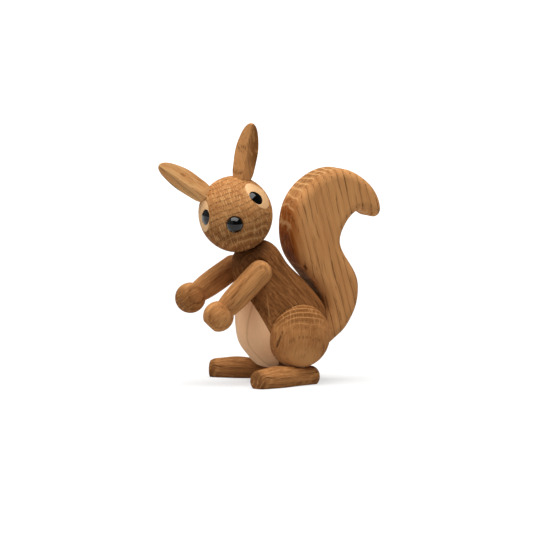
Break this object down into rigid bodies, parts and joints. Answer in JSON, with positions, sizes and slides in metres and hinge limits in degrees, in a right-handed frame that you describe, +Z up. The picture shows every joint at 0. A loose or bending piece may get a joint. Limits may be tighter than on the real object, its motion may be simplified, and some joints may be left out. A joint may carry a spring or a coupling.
{
  "type": "squirrel figurine",
  "caption": "Turned wooden squirrel with a curled board tail; its head turns full circle, its arms swing and its feet swivel. It stands on its flat soles.",
  "frame": {"origin": "on the table, under the middle of the whole figure", "axes": "+X to the squirrel's left, +Y to its back (the tail side), +Z up"},
  "size_m": [0.0602, 0.0946, 0.1068],
  "materials": {
    "oak_body": "oiled oak",
    "maple": "oiled pale maple",
    "oak_head": "oiled oak",
    "oak_tail": "oiled oak",
    "oak_ears": "oiled oak",
    "oak_limbs": "oiled oak",
    "oak_thighs": "oiled oak",
    "beech": "plain beech dowel",
    "black_gloss": "black gloss",
    "rubber": "matt black"
  },
  "bodies": {
    "body": {"body": "oak_body", "belly": "maple", "neck_dowel": "beech", "neck_friction_ring": "rubber", "tail": "oak_tail", "tail_dowels": "beech", "left_shoulder_pin": "beech", "left_shoulder_friction_ring": "rubber", "left_thigh": "oak_thighs", "left_hip_dowel": "beech", "left_ankle_dowel": "beech", "right_shoulder_pin": "beech", "right_shoulder_friction_ring": "rubber", "right_thigh": "oak_thighs", "right_hip_dowel": "beech", "right_ankle_dowel": "beech"},
    "head": {"head": "oak_head", "nose": "black_gloss", "left_eye_surround": "maple", "left_eye": "black_gloss", "left_ear": "oak_ears", "right_eye_surround": "maple", "right_eye": "black_gloss", "right_ear": "oak_ears"},
    "left_arm": {"left_arm": "oak_limbs"},
    "right_arm": {"right_arm": "oak_limbs"},
    "left_foot": {"left_foot": "oak_limbs"},
    "right_foot": {"right_foot": "oak_limbs"}
  },
  "joints": [
    {"name": "head_turn", "type": "hinge", "parent": "body", "child": "head", "pos_m": [0.0029, -0.01485, 0.06932], "axis": [0, -0.4019, 0.9157], "continuous": true},
    {"name": "left_arm_swing", "type": "hinge", "parent": "body", "child": "left_arm", "pos_m": [0.0163, -0.01004, 0.0463], "axis": [-0.9744, 0.225, 0], "range_deg": [-2.5, 63]},
    {"name": "right_arm_swing", "type": "hinge", "parent": "body", "child": "right_arm", "pos_m": [-0.0105, -0.01004, 0.0463], "axis": [-0.9744, -0.225, 0], "range_deg": [-18, 45]},
    {"name": "left_foot_turn", "type": "hinge", "parent": "body", "child": "left_foot", "pos_m": [0.0179, 0.00746, 0], "axis": [0, 0, 1], "range_deg": [-35, 55]},
    {"name": "right_foot_turn", "type": "hinge", "parent": "body", "child": "right_foot", "pos_m": [-0.0121, 0.00746, 0], "axis": [0, 0, -1], "range_deg": [-50, 38]}
  ]
}
